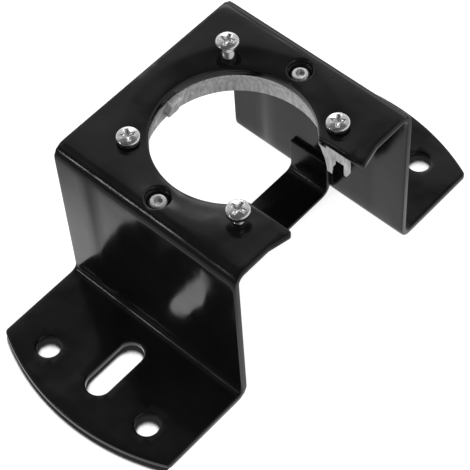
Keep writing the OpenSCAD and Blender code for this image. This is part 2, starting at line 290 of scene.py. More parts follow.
def two_tone(tree, pattern, dark, light):
    """A colour between two greys, mixed by a pattern."""
    mix = node(tree, "ShaderNodeMix", data_type="RGBA")
    ends = [socket for socket in mix.inputs if socket.type == "RGBA"]
    for socket, grey in zip(ends, (dark, light)):
        socket.default_value = (grey, grey, grey, 1)
    tree.links.new(pattern, mix.inputs[0])
    return [socket for socket in mix.outputs if socket.type == "RGBA"][0]


def clouded(tree, shader, place, tones, clouds, rough, gloss):
    """Gives a shader a cloudy grey between two tones, and a cloudy gloss between two roughnesses."""
    pattern = remapped(tree, noise(tree, place, *clouds), PATTERN_MIDDLE, 0.0, 1.0)
    tree.links.new(two_tone(tree, pattern, *tones), shader.inputs["Base Color"])
    sheen = remapped(tree, noise(tree, place, *gloss), PATTERN_MIDDLE, *rough)
    tree.links.new(sheen, shader.inputs["Roughness"])


# Paint, moulding and plated metal

# Each pattern's grains along a metre, its detail, and its stretch along X, Y and Z
PAINT_CLOUDS = (45, 4)
PAINT_GLOSS = (130, 5)
WIDE_WAVES = (32, 1, (1, 1, 0.4))
NARROW_WAVES = (95, 1, (1, 1, 0.5))
ORANGE_PEEL = (900, 2)
FIBRES = (900, 3, (1, 1, 0.22))
MOULDING_GLOSS = (500, 3)
MOULDING_PITS = (1300, 3, (1, 1, 0.3))
PLATING_CLOUDS = (700, 4)
PLATING_GLOSS = (900, 4)
PLATING_GRAIN = (1600, 3)

# The paint: its tones as shares of its grey, the narrow waves as a share of the wide, and its peel
PAINT_TONES = (0.8, 1.3)
PAINT_IOR = 1.45
NARROW_SHARE = 0.12
PEEL_HEIGHT = 0.000005

# The moulding: its dark and light fibres, its roughness, and its pits' depth and strength
FIBRE_TONES = (0.34, 0.66)
MOULDING_ROUGH = (0.5, 0.75)
PIT_DEPTH = 0.0001
PIT_STRENGTH = 0.6

# The plating: its tones as shares of its grey, the lightest that it gets, and its grain's height
PLATING_TONES = (0.75, 1.08)
PLATING_LIGHTEST = 0.96
GRAIN_HEIGHT = 0.00008


def black_paint(name, grey, rough, wave):
    """Stoved black paint: a dark body colour, an uneven gloss, waves left by the press and orange peel.

    The waves lie in object space and are drawn out along Z, so that they run down the walls.
    """
    made, tree, shader = material_with(name)
    place = object_place(tree)
    tones = [grey * share for share in PAINT_TONES]
    clouded(tree, shader, place, tones, PAINT_CLOUDS, rough, PAINT_GLOSS)
    shader.inputs["IOR"].default_value = PAINT_IOR
    wide = bump(tree, noise(tree, place, *WIDE_WAVES), wave, 1.0, leaned(tree))
    narrow = bump(tree, noise(tree, place, *NARROW_WAVES), wave * NARROW_SHARE, 1.0, wide)
    skin = bump(tree, noise(tree, place, *ORANGE_PEEL), PEEL_HEIGHT, 1.0, narrow)
    tree.links.new(skin, shader.inputs["Normal"])
    return made


def grey_moulding():
    """Filled grey plastic: light fibres that run down the wall of the ring, dull and slightly pitted."""
    made, tree, shader = material_with("grey_moulding")
    place = object_place(tree)
    clouded(tree, shader, place, FIBRE_TONES, FIBRES, MOULDING_ROUGH, MOULDING_GLOSS)
    skin = bump(tree, noise(tree, place, *MOULDING_PITS), PIT_DEPTH, PIT_STRENGTH)
    tree.links.new(skin, shader.inputs["Normal"])
    return made


def plated_metal(name, grey, rough, grain):
    """Bright plating: a metal with a cloudy gloss and a fine tumbled grain."""
    made, tree, shader = material_with(name)
    place = object_place(tree)
    shader.inputs["Metallic"].default_value = 1.0
    tones = [min(grey * share, PLATING_LIGHTEST) for share in PLATING_TONES]
    clouded(tree, shader, place, tones, PLATING_CLOUDS, rough, PLATING_GLOSS)
    skin = bump(tree, noise(tree, place, *PLATING_GRAIN), GRAIN_HEIGHT, grain)
    tree.links.new(skin, shader.inputs["Normal"])
    return made


# The folded sheet


def folded(across, along, height):
    """Where points of the flat blank lie on the folded sheet, with their height above its middle.

    Straight runs keep their length. In a fold, a point turns about the fold's axis by the run past the
    fold's start over the middle radius, first down at the plate and then out again at the foot.
    """
    run = np.abs(along)
    down = np.clip((run - PLATE_RUN) / MIDDLE_R, 0, QUARTER)
    out = np.clip((run - WALL_END) / MIDDLE_R, 0, QUARTER)
    y = np.minimum(run, PLATE_RUN) + MIDDLE_R * np.sin(down)
    y = y + MIDDLE_R * (1 - np.cos(out)) + np.maximum(run - FOOT_START, 0)
    z = PLATE_H - SHEET_T / 2 - MIDDLE_R * (1 - np.cos(down))
    z = z - np.clip(run - WALL_START, 0, WALL_RUN) - MIDDLE_R * np.sin(out)
    y = y + height * np.sin(down - out)
    z = z + height * np.cos(down - out)
    return np.stack([across, FOLD_SHIFT + np.sign(along) * y, z], axis=1)


def blank_along(y):
    """The place along the blank of a point of the plate or of a foot, from its Y."""
    off = y - FOLD_SHIFT
    on_foot = np.sign(off) * (np.abs(off) - FOOT_Y + FOOT_START)
    return np.where(np.abs(off) <= PLATE_RUN, off, on_foot)


def in_blank(points):
    """Turns X and Y of the plate or feet into the blank's across and along."""
    return np.stack([points[:, 0], blank_along(points[:, 1])], axis=1)


def arc(centre_x, centre_y, radius, start, end, step=ARC_STEP):
    """Points along an arc from one angle to another, in degrees, both ends included."""
    count = max(3, int(math.ceil(math.radians(abs(end - start)) * radius / step)) + 1)
    turn = np.radians(np.linspace(start, end, count))
    x = centre_x + radius * np.cos(turn)
    return np.stack([x, centre_y + radius * np.sin(turn)], axis=1)


def straight(first, last, step=EDGE_STEP):
    """Points along a straight line, both ends included."""
    count = max(2, int(math.ceil(math.dist(first, last) / step)) + 1)
    return np.linspace(first, last, count)


def joined(*runs):
    """One closed loop from runs of points, without the points that repeat."""
    loop = np.concatenate(runs)
    gap = np.linalg.norm(loop - np.roll(loop, 1, axis=0), axis=1)
    return loop[gap > 1e-6]


def foot_end(side):
    """A foot's round end with its two rounded corners, turning anticlockwise."""
    inner = FOOT_R - FOOT_CORNER_R
    corners = []
    for sign in (side, -side):
        x = sign * (EDGE_X - FOOT_CORNER_R) - OPENING_X
        y = side * math.sqrt(inner**2 - x**2)
        corners.append((x + OPENING_X, y, math.degrees(math.atan2(y, x)) % 360))
    (first_x, first_y, first_turn), (last_x, last_y, last_turn) = corners
    start, finish = (0, 180) if side > 0 else (180, 360)
    corner_in = arc(first_x, first_y, FOOT_CORNER_R, start, first_turn, CORNER_STEP)
    round_end = arc(OPENING_X, 0, FOOT_R, first_turn, last_turn)
    corner_out = arc(last_x, last_y, FOOT_CORNER_R, last_turn, finish, CORNER_STEP)
    return in_blank(np.concatenate([corner_in, round_end, corner_out]))


def mouth_side(side):
    """The plate's edge at one side of the slot, from the straight edge in to the round opening."""
    ramp_end = SLOT_HALF + EAR_CORNER_R
    corner_x = MOUTH_X - EAR_CORNER_R
    ramp = straight((EDGE_X, ramp_end + EAR_RAMP), (MOUTH_X, ramp_end))
    corner = arc(corner_x, ramp_end, EAR_CORNER_R, 0, -90, CORNER_STEP)
    reach = OPENING_X + math.sqrt(OPENING_R**2 - SLOT_HALF**2)
    flank = straight((corner_x, SLOT_HALF), (reach, SLOT_HALF), FINE_EDGE_STEP)
    run = np.concatenate([ramp, corner, flank])
    return in_blank(run * np.array([1, side]))


def sheet_outline():
    """The blank's outer edge, anticlockwise, which runs in through the slot and round the opening."""
    half_mouth = math.degrees(math.asin(SLOT_HALF / OPENING_R))
    opening = in_blank(arc(OPENING_X, 0, OPENING_R, -half_mouth, half_mouth - 360))
    near, far = mouth_side(-1), mouth_side(1)[::-1]
    near_foot, far_foot = foot_end(-1), foot_end(1)
    right_near = straight(near_foot[-1], near[0])
    right_far = straight(far[-1], far_foot[0])
    left = straight(far_foot[-1], near_foot[0])
    return joined(right_near, near, opening, far, right_far, far_foot, left, near_foot)


def foot_slot(side):
    """A foot slot's edge, clockwise: two half rounds joined by straight sides."""
    half_run = (FOOT_SLOT_L - FOOT_SLOT_W) / 2
    radius = FOOT_SLOT_W / 2
    start, end = side * FOOT_SLOT_MID - half_run, side * FOOT_SLOT_MID + half_run
    lower = arc(0, start, radius, 0, -180, SLOT_STEP)
    upper = arc(0, end, radius, 180, 0, SLOT_STEP)
    left = straight((-radius, start), (-radius, end), FINE_EDGE_STEP)
    right = straight((radius, end), (radius, start), FINE_EDGE_STEP)
    return joined(*map(in_blank, (lower, left, upper, right)))


def sheet_holes():
    """The pierced holes' edges, clockwise: foot slots, rivet holes, foot holes and screw holes."""
    holes = []
    for side in (-1, 1):
        holes.append(foot_slot(side))
        rounds = [(0, side * RIVET_Y, RIVET_HOLE_R)]
        for sign in (-1, 1):
            rounds.append((sign * FOOT_HOLE_X, side * FOOT_HOLE_Y, FOOT_HOLE_R))
            rounds.append((OPENING_X + sign * SCREW_OFF, side * SCREW_OFF, SCREW_HOLE_R))
        for x, y, radius in rounds:
            holes.append(joined(in_blank(arc(x, y, radius, 360, 0, HOLE_STEP))))
    return holes


def moved_in(loop, distance):
    """A loop moved into the sheet by a distance, along the bisector of each corner."""
    after = np.roll(loop, -1, axis=0) - loop
    after /= np.linalg.norm(after, axis=1)[:, None]
    out_after = np.stack([after[:, 1], -after[:, 0]], axis=1)
    out_before = np.roll(out_after, 1, axis=0)
    lean = 1 + np.sum(out_after * out_before, axis=1)
    return loop - distance * (out_after + out_before) / lean[:, None]


def edge_profile():
    """How far in and how high each line of the rounded edge lies, from the top face to the under face.

    Each rounding is a quarter of a circle: in by one less the sine, and down by one less the cosine.
    """
    turn = np.linspace(0, QUARTER, ROUND_LINES)
    top = [ROUND_TOP * (1 - np.sin(turn)), SHEET_T / 2 - ROUND_TOP * (1 - np.cos(turn))]
    turn = turn[::-1]
    under = [ROUND_UNDER * (1 - np.sin(turn)), ROUND_UNDER * (1 - np.cos(turn)) - SHEET_T / 2]
    return np.concatenate([top, under], axis=1).T


def inside(points, loops):
    """Which points lie in the sheet: their ray to the right crosses the edges an odd number of times."""
    odd = np.zeros(len(points), bool)
    x, y = points[:, 0:1], points[:, 1:2]
    for loop in loops:
        a, b = loop, np.roll(loop, -1, axis=0)
        rise = b[:, 1] - a[:, 1]
        rise = np.where(rise == 0, 1e-12, rise)
        spans = (a[:, 1] > y) != (b[:, 1] > y)
        cross_x = a[:, 0] + (y - a[:, 1]) * (b[:, 0] - a[:, 0]) / rise
        odd ^= (np.count_nonzero(spans & (x < cross_x), axis=1) % 2).astype(bool)
    return odd


def far_from(points, others, gap):
    """Which points keep a gap from all the others, worked out a block of points at a time."""
    keep = []
    for block in np.array_split(points, max(1, len(points) // 500)):
        off = block[:, None, :] - others[None, :, :]
        keep.append(np.min(np.sum(off * off, axis=2), axis=1) > gap * gap)
    return np.concatenate(keep)


def ring_points(centre, radii, step):
    """Points on rings about a centre of the blank, each about a step from the next."""
    rings = [arc(*centre, r, 0, 360 - 360 / (6.28 * r / step), step) for r in radii]
    return np.concatenate(rings)


def grid_points(columns, rows):
    """Points at each crossing of columns and rows."""
    return np.stack(np.meshgrid(columns, rows), axis=-1).reshape(-1, 2)


def sheet_points(loops):
    """Points inside the blank that carry its folds, dimples and dished areas, clear of its edges."""
    fold = np.linspace(0, FOLD_RUN, FOLD_ROWS)
    rows = np.concatenate([PLATE_RUN + fold, WALL_END + fold])
    columns = np.linspace(-EDGE_X + FOLD_EDGE, EDGE_X - FOLD_EDGE, FOLD_COLUMNS)
    folds = grid_points(columns, np.concatenate([-rows, rows]))
    first, last = DIMPLE_RING_MARGINS
    radii = np.linspace(RIVET_HOLE_R + first, DIMPLE_RIM_R + last, DIMPLE_RINGS)
    rings = [ring_points((0.0, y * RIVET_Y - FOLD_SHIFT), radii, DIMPLE_STEP) for y in (-1, 1)]
    first, last, step = DISH_RINGS
    radii = np.arange(OPENING_R + first, OPENING_R + last, step)
    dished = ring_points((OPENING_X, -FOLD_SHIFT), radii, DISH_STEP)
    radii = np.arange(*BOSS_RINGS)
    bosses = [
        ring_points((OPENING_X + x * SCREW_OFF, y * SCREW_OFF - FOLD_SHIFT), radii, BOSS_STEP)
        for x in (-1, 1) for y in (-1, 1)
    ]
    flat = grid_points(np.arange(*FLAT_COLUMNS), np.arange(*FLAT_ROWS))
    sets = (
        (np.concatenate(rings), DIMPLE_GAP), (folds, FOLD_GAP), (np.concatenate(bosses), BOSS_GAP),
        (dished, DISH_GAP), (flat, FLAT_GAP),
    )
    kept = np.zeros((0, 2))
    for points, gap in sets:
        points = points[inside(points, loops)]
        points = points[far_from(points, np.concatenate(loops), EDGE_GAP)]
        if len(kept):
            points = points[far_from(points, kept, gap)]
        kept = np.concatenate([kept, points])
    return kept


def sunk(across, along):
    """How far the sheet is pressed down at a place on the blank, in millimetres.

    Each dimple falls by a smooth step from its rim to its floor, in a shallow dip that follows a bell
    curve. The plate also sinks towards the opening by two powers of the share of a band still to go,
    and round the screws by a bell curve.
    """
    on_plate = smooth((PLATE_RUN - np.abs(along)) / DISH_FADE)
    depth = np.zeros(len(across))
    for side in (-1, 1):
        r = np.hypot(across, along - (side * RIVET_Y - FOLD_SHIFT))
        depth += DIMPLE_DEPTH * smooth((DIMPLE_RIM_R - r) / (DIMPLE_RIM_R - DIMPLE_FLAT_R))
        depth += on_plate * RIVET_DISH * np.exp(-((r / RIVET_DISH_W) ** 2))
    r = np.hypot(across - OPENING_X, along + FOLD_SHIFT) - OPENING_R
    depth += on_plate * OPENING_DISH * np.clip(1 - r / OPENING_DISH_W, 0, 1) ** OPENING_DISH_POWER
    depth += on_plate * OPENING_LIP * np.clip(1 - r / OPENING_LIP_W, 0, 1) ** OPENING_LIP_POWER
    for sign_x in (-1, 1):
        for sign_y in (-1, 1):
            off_x = across - OPENING_X - sign_x * SCREW_OFF
            off_y = along + FOLD_SHIFT - sign_y * SCREW_OFF
            r = np.hypot(off_x, off_y)
            depth += on_plate * SCREW_DISH * np.exp(-((r / SCREW_DISH_W) ** 2))
    return depth


def sheet_lean(across, along):
    """Which way and how far the sheet leans at a place on the blank, as a change of its upper normal.

    Past a crease at each side, a wall leans outwards by a smooth step, and the left crease itself
    leans up by a bell curve. Round the opening, the plate leans in by a steady amount that fades out
    smoothly with the distance from the opening's centre.
    """
    run = np.abs(along)
    on_wall = smooth((run - WALL_START + WALL_FADE) / WALL_FADE)
    on_wall = on_wall * smooth((WALL_END + WALL_FADE - run) / WALL_FADE)
    left = LEFT_LEAN * smooth((-across - CREASE_X) / CREASE_W)
    right = RIGHT_LEAN * smooth((across - CREASE_X) / CREASE_W)
    on_plate = smooth((PLATE_RUN - run) / PLATE_FADE)
    off_x, off_y = across - OPENING_X, along + FOLD_SHIFT
    r = np.maximum(np.hypot(off_x, off_y), 1.0)
    start, end = DISH_LEAN_R
    ring = DISH_LEAN * on_plate * smooth((end - r) / (end - start))
    lean = np.zeros((len(across), 3))
    lean[:, 0] = on_wall * (right - left) - ring * off_x / r
    lean[:, 1] = -ring * off_y / r
    lean[:, 2] = on_wall * CREASE_LEAN * np.exp(-(((across + CREASE_X) / CREASE_W) ** 2))
    return lean


def face_of_sheet(loops, inner):
    """Triangles of one face of the blank, and the points that they number."""
    points = np.concatenate([*loops, inner])
    edges, start = [], 0
    for loop in loops:
        number = np.arange(len(loop))
        edges.append(start + np.stack([number, (number + 1) % len(loop)], axis=1))
        start += len(loop)
    vectors = [Vector(p) for p in points.tolist()]
    drawn = delaunay_2d_cdt(vectors, np.concatenate(edges).tolist(), [], 0, 1e-5)
    came_from = np.array([ids[0] for ids in drawn[3]])
    faces = came_from[np.array(drawn[2])]
    middles = points[faces].mean(axis=1)
    return points, faces[inside(middles, loops)]


def sheet_blank():
    """The flat blank as a closed shell: its points, their height above its middle, and its faces.

    Each face lies inside its rounded edges, and bands of quads run round every edge from the one to
    the other along the edge's profile.
    """
    loops = [sheet_outline(), *sheet_holes()]
    profile = edge_profile()
    inner = sheet_points([moved_in(loop, ROUND_TOP) for loop in loops])
    top, top_faces = face_of_sheet([moved_in(loop, profile[0][0]) for loop in loops], inner)
    under, under_faces = face_of_sheet([moved_in(loop, profile[-1][0]) for loop in loops], inner)
    flat = [top, under]
    height = [np.full(len(top), SHEET_T / 2), np.full(len(under), -SHEET_T / 2)]
    faces = top_faces.tolist() + (under_faces[:, ::-1] + len(top)).tolist()
    count, start = len(top) + len(under), 0
    for loop in loops:
        size = len(loop)
        rows = [np.arange(size) + start]
        for inset, level in profile[1:-1]:
            flat.append(moved_in(loop, inset))
            height.append(np.full(size, level))
            rows.append(np.arange(size) + count)
            count += size
        rows.append(np.arange(size) + start + len(top))
        faces += np.stack(rows).ravel()[grid_faces(len(rows), size, True)].tolist()
        start += size
    return np.concatenate(flat), np.concatenate(height), faces


def folded_sheet(material):
    """The bracket's sheet, pressed and folded up, which carries its own lean from face to face.

    The lean is that of the upper face, turned round evenly through the sheet to the under face.
    """
    flat, height, faces = sheet_blank()
    across, along = flat.T
    points = folded(across, along, height - sunk(across, along))
    piece = write_mesh("folded_sheet", points, faces, material)
    lean = sheet_lean(across, along) * (2 * height / SHEET_T)[:, None]
    layer = piece.data.attributes.new("lean", "FLOAT_VECTOR", "POINT")
    layer.data.foreach_set("vector", lean.astype(np.float32).ravel())
    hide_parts("hanger_bracket")
    return piece


# Bars carried along a path: the drawn rim and the cross strap

STRAP_LOW, STRAP_HIGH = box_mm("cross_strap")
STRAP_W = STRAP_HIGH[0] - STRAP_LOW[0]
STRAP_T = 1.8
STRAP_BEND_R = 3.0
STRAP_ROUND = 0.5
STRAP_FLAT_STEPS, STRAP_FOLD_STEPS, STRAP_CAP_STEPS = 12, 13, 5


def rounded_bar(width, thick, radius, steps=5):
    """A rectangle with rounded corners, anticlockwise, as across and height about its middle."""
    half_w, half_t = width / 2 - radius, thick / 2 - radius
    centres = ((half_w, half_t), (-half_w, half_t), (-half_w, -half_t), (half_w, -half_t))
    turn = np.radians(np.linspace(0, 90, steps))
    corners = []
    for quarter, (x, y) in enumerate(centres):
        angle = turn + quarter * QUARTER
        corners.append(np.stack([x + radius * np.cos(angle), y + radius * np.sin(angle)], axis=1))
    return np.concatenate(corners)


def carried_bar(name, points, material):
    """A closed bar from its section's points at each step of a path, with a flat cap at each end."""
    rows, columns = points.shape[:2]
    faces = grid_faces(rows, columns, True).tolist()
    faces += [list(range(columns)), list(range((rows - 1) * columns, rows * columns))[::-1]]
    piece = write_mesh(name, points.reshape(-1, 3), faces, material)
    point_outwards(piece)
    return piece


def drawn_rim(material):
    """The rim drawn down round the opening: a rounded bar that runs from one slot side to the other.

    The bar's ends lie flush with the slot's sides, so each of its lines ends at its own angle.
    """
    low, high = PLATE_H - SHEET_T - RIM_DROP, PLATE_H - SHEET_T / 2
    bar = rounded_bar(RIM_T, high - low, RIM_ROUND)
    radius = OPENING_R - RIM_PROUD + RIM_T / 2 - bar[:, 0]
    end = np.arcsin(SLOT_HALF / radius)
    share = np.linspace(0, 1, RIM_STEPS)[:, None]
    angle = end + share * (2 * math.pi - 2 * end)
    x = OPENING_X + radius * np.cos(angle)
    y = radius * np.sin(angle)
    z = np.broadcast_to((low + high) / 2 + bar[:, 1], x.shape)
    piece = carried_bar("drawn_rim", np.stack([x, y, z], axis=2), material)
    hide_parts("hanger_bracket")
    return piece


def strap(material):
    """The strap: a rounded bar carried along a flat run that turns up at both ends.

    The run past a fold's start over the middle radius is the angle turned. At each end the section
    shrinks by a quarter round, and a flat cap closes it.
    """
    middle_r = STRAP_BEND_R + STRAP_T / 2
    flat_run = (STRAP_HIGH[1] - STRAP_LOW[1]) / 2 - STRAP_BEND_R - STRAP_T
    fold_run = QUARTER * middle_r
    rise = STRAP_HIGH[2] - STRAP_LOW[2] - STRAP_BEND_R - STRAP_T
    turn = np.linspace(0, QUARTER, STRAP_CAP_STEPS)
    cap_run = flat_run + fold_run + rise - STRAP_ROUND * (1 - np.sin(turn))
    cap_in = STRAP_ROUND * (1 - np.cos(turn))
    flat = np.linspace(0, flat_run, STRAP_FLAT_STEPS)[1:-1]
    fold = flat_run + np.linspace(0, fold_run, STRAP_FOLD_STEPS)
    half_run = np.concatenate([flat, fold, cap_run])
    half_in = np.concatenate([np.zeros(len(half_run) - len(cap_in)), cap_in])
    along = np.concatenate([-half_run[::-1], [0], half_run])
    shrink = np.concatenate([half_in[::-1], [0], half_in])
    section = rounded_bar(STRAP_W, STRAP_T, STRAP_ROUND)
    inward = section / np.array([STRAP_W, STRAP_T]) * 2
    section = section[None] - shrink[:, None, None] * inward[None]
    run = np.abs(along)[:, None]
    up = np.clip((run - flat_run) / middle_r, 0, QUARTER)
    height = section[:, :, 1]
    y = np.minimum(run, flat_run) + middle_r * np.sin(up)
    y = np.sign(along)[:, None] * (y - height * np.sin(up))
    z = middle_r * (1 - np.cos(up)) + np.maximum(run - flat_run - fold_run, 0)
    z = STRAP_LOW[2] + STRAP_T / 2 + z + height * np.cos(up)
    x = (STRAP_LOW[0] + STRAP_HIGH[0]) / 2 + section[:, :, 0]
    y = y + (STRAP_LOW[1] + STRAP_HIGH[1]) / 2
    piece = carried_bar("strap_bar", np.stack([x, y, z], axis=2), material)
    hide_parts("cross_strap")
    return piece


# Screws and rivets

# The head's crown, its rounded edge and its under side, with the shank below it
SCREW_COLUMNS = 144
HEAD_H = 2.6
HEAD_CROWN = 0.45
HEAD_ROWS = 48
HEAD_EDGE_W = 0.95
HEAD_EDGE_H = 0.8
HEAD_EDGE_TURN = (19, 90, 12)
HEAD_EDGE_GAP = 0.06
HEAD_UNDER_ROUND = 0.22
SHANK_R = 2.05
SHANK_ROUND = 0.12
SHANK_L = 0.45
MIDDLE_POINT_R = 0.03

# The thread, where it starts and ends, and the point that it runs out to
THREAD_PITCH = 0.79
THREAD_DEPTH = 0.36
THREAD_ROWS = 10
THREAD_START = 0.5
THREAD_END = 0.25
THREAD_RUN_IN = 0.8
POINT_L = 0.9
POINT_IN = 0.55
TIP_IN = 0.9

# The cross recess: its arms, the round heart where they cross, and its floor
RECESS_DEPTH = 1.25
RECESS_ARM = 2.35
RECESS_HALF_W = 0.5
RECESS_SLOPE = 0.3
RECESS_END_SLOPE = 0.5
RECESS_HEART_R = 1.05
RECESS_FLOOR_R = 3.1

# A rivet's section from its middle out, as radius, depth below the top and fillet: the stub in the
# hollow, the hollow's wall and the dome
RIVET_COLUMNS = 72
RIVET_HOLLOW = (
    (0.03, 1.35, 0), (0.95, 1.35, 0.12), (0.98, 1.7, 0.0), (1.3, 1.7, 0.12), (1.42, 0, 0.3),
    (2.65, 0.05, 0.5),
)
# The flange's rim, as depth and fillet
RIVET_RIM = ((0.42, 0.25), (1.0, 0.12))
# The shank from the flange down, as radius and fillet, and the set head, with its height
RIVET_SHANK = (1.95, 0.1)
RIVET_SET = ((2.9, 0.3), (2.6, 0.7))
RIVET_SET_H = 1.6


def turned(name, radius, height, centre, material):
    """A turned piece from the radius and height at each row and angle, closed at both ends by a point.

    A point's place is the centre plus its radius along its angle, at its height.
    """
    rows, columns = radius.shape
    angle = np.linspace(0, 2 * math.pi, columns, endpoint=False)[None, :]
    x = centre[0] + radius * np.cos(angle)
    y = centre[1] + radius * np.sin(angle)
    points = np.stack([x, y, np.broadcast_to(height, x.shape)], axis=2).reshape(-1, 3)
    ends = [[centre[0], centre[1], height[row].mean()] for row in (0, -1)]
    points = np.concatenate([points, ends])
    faces = grid_faces(rows, columns, True).tolist()
    first = np.arange(columns)
    after = (first + 1) % columns
    top, tip = rows * columns, rows * columns + 1
    last = (rows - 1) * columns
    faces += np.stack([first, after, np.full(columns, top)], axis=1).tolist()
    faces += np.stack([last + after, last + first, np.full(columns, tip)], axis=1).tolist()
    piece = write_mesh(name, points, faces, material)
    point_outwards(piece)
    return piece


def filleted(corners, step=0.08):
    """A line through corners given as radius, height and fillet, with each fillet as an arc.

    The arc's centre lies on the corner's bisector, and its points are the two ends weighed by the sines
    of the angles still to go and gone.
    """
    line = [np.array(corners[0][:2], float)[None]]
    for before, corner, after in zip(corners, corners[1:], corners[2:]):
        here = np.array(corner[:2], float)
        back = np.array(before[:2], float) - here
        ahead = np.array(after[:2], float) - here
        back, ahead = back / np.linalg.norm(back), ahead / np.linalg.norm(ahead)
        fillet = corner[2]
        if fillet == 0:
            line.append(here[None])
            continue
        half = math.acos(np.clip(back @ ahead, -1, 1)) / 2
        bisector = (back + ahead) / np.linalg.norm(back + ahead)
        centre = here + bisector * fillet / math.sin(half)
        start = here + back * fillet / math.tan(half) - centre
        finish = here + ahead * fillet / math.tan(half) - centre
        sweep = math.pi - 2 * half
        t = np.linspace(0, 1, max(3, int(sweep * fillet / step) + 2))[:, None]
        round_off = np.sin((1 - t) * sweep) * start + np.sin(t * sweep) * finish
        line.append(centre + round_off / math.sin(sweep))
    line.append(np.array(corners[-1][:2], float)[None])
    return np.concatenate(line)


def recess_depth(x, y):
    """The cross recess's depth: two crossed arms with sloping walls, and a floor that rises outwards."""
    r = np.hypot(x, y)
    arms = [
        np.minimum(
            (RECESS_HALF_W - np.abs(off)) / RECESS_SLOPE,
            (RECESS_ARM - np.abs(along)) / RECESS_END_SLOPE,
        )
        for along, off in ((x, y), (y, x))
    ]
    heart = (RECESS_HEART_R - r) / RECESS_SLOPE
    floor = RECESS_DEPTH * (1 - (r / RECESS_FLOOR_R) ** 2)
    return floor * smooth(0.5 + 0.5 * np.maximum(np.maximum(*arms), heart))


def screw_thread(under, tip, angle):
    """The radius and height of a helical thread, with rows down the shank and columns round it.

    The phase is the height over the pitch plus the share of a turn. The radius falls from the crest
    by a smooth ridge of the phase, grows in below the head and shrinks to the point.
    """
    z = np.arange(under - THREAD_START, tip + THREAD_END, -THREAD_PITCH / THREAD_ROWS)[:, None]
    phase = z / THREAD_PITCH + angle / (2 * math.pi)
    ridge = 1 - 2 * np.abs(phase % 1 - 0.5)
    start = smooth((under - THREAD_START - z) / THREAD_RUN_IN)
    finish = smooth((z - tip) / POINT_L)
    crest = SHANK_R - POINT_IN * (1 - finish)
    return crest - THREAD_DEPTH * (1 - smooth(ridge)) * start, z


def pan_screw(number, turn, material):
    """A pan head screw: a crowned head with a cross recess, and a shank with a helical thread.

    The crown falls by the square of the share of the radius, and the head's edge is part of an ellipse.
    """
    cad = f"canopy_screw_{number}"
    low, high = box_mm(cad)
    head_r = (high[0] - low[0]) / 2
    top, under, tip = high[2], high[2] - HEAD_H, low[2]
    angle = np.linspace(0, 2 * math.pi, SCREW_COLUMNS, endpoint=False)[None, :]
    rounding = np.radians(np.linspace(*HEAD_EDGE_TURN))[:, None]
    fall = HEAD_EDGE_H * (np.cos(rounding[0]) - np.cos(rounding))
    edge = [head_r - HEAD_EDGE_W * (1 - np.sin(rounding)), top - HEAD_CROWN - fall]
    edge = np.concatenate(edge, axis=1)
    crown_r = edge[0, 0] - HEAD_EDGE_GAP
    r = np.linspace(MIDDLE_POINT_R, crown_r, HEAD_ROWS)[:, None]
    crown = top - HEAD_CROWN * (r / crown_r) ** 2 * np.ones_like(angle)
    crown = crown - recess_depth(r * np.cos(angle - turn), r * np.sin(angle - turn))
    lower = filleted([
        (head_r, edge[-1, 1], 0), (head_r, under, HEAD_UNDER_ROUND), (SHANK_R, under, SHANK_ROUND),
        (SHANK_R, under - SHANK_L, 0),
    ])
    shoulder = np.concatenate([edge, lower[1:]])
    round_rows = (len(shoulder), SCREW_COLUMNS)
    thread_r, thread_z = screw_thread(under, tip, angle)
    radius = np.concatenate([
        np.broadcast_to(r, crown.shape), np.broadcast_to(shoulder[:, 0:1], round_rows), thread_r,
        np.full((1, SCREW_COLUMNS), SHANK_R - TIP_IN),
    ])
    height = np.concatenate([
        crown, np.broadcast_to(shoulder[:, 1:2], round_rows), np.broadcast_to(thread_z, thread_r.shape),
        np.full((1, SCREW_COLUMNS), tip),
    ])
    centre = (low + high) / 2
    piece = turned(f"pan_screw_{number}", radius, height, centre, material)
    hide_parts(cad)
    return piece


def hollow_rivet(name, cad, material):
    """A hollow rivet: a domed flange round a hollow with a stub in it, a shank, and a set head below."""
    low, high = box_mm(cad)
    flange_r = (high[0] - low[0]) / 2
    top, bottom = high[2], low[2]
    shank_r, shank_round = RIVET_SHANK
    (set_r, set_round), (set_end_r, set_end_round) = RIVET_SET
    line = filleted([
        *((r, top - depth, fillet) for r, depth, fillet in RIVET_HOLLOW),
        *((flange_r, top - depth, fillet) for depth, fillet in RIVET_RIM),
        (shank_r, top - RIVET_RIM[-1][0], shank_round), (shank_r, bottom + RIVET_SET_H, shank_round),
        (set_r, bottom + RIVET_SET_H, set_round), (set_end_r, bottom, set_end_round),
        (MIDDLE_POINT_R, bottom, 0),
    ])
    radius = np.repeat(line[:, 0:1], RIVET_COLUMNS, axis=1)
    height = np.repeat(line[:, 1:2], RIVET_COLUMNS, axis=1)
    piece = turned(name, radius, height, (low + high) / 2, material)
    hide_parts(cad)
    return piece


# The moulded seat: how near doubles lie, the greatest turn that is still flat, and its softened edges

SEAT_DOUBLES = 0.000005
SEAT_FLAT = math.radians(1.0)
SEAT_SHARP = math.radians(32)
SEAT_EDGE_W = 0.00022
SEAT_EDGE_TURN = math.radians(38)


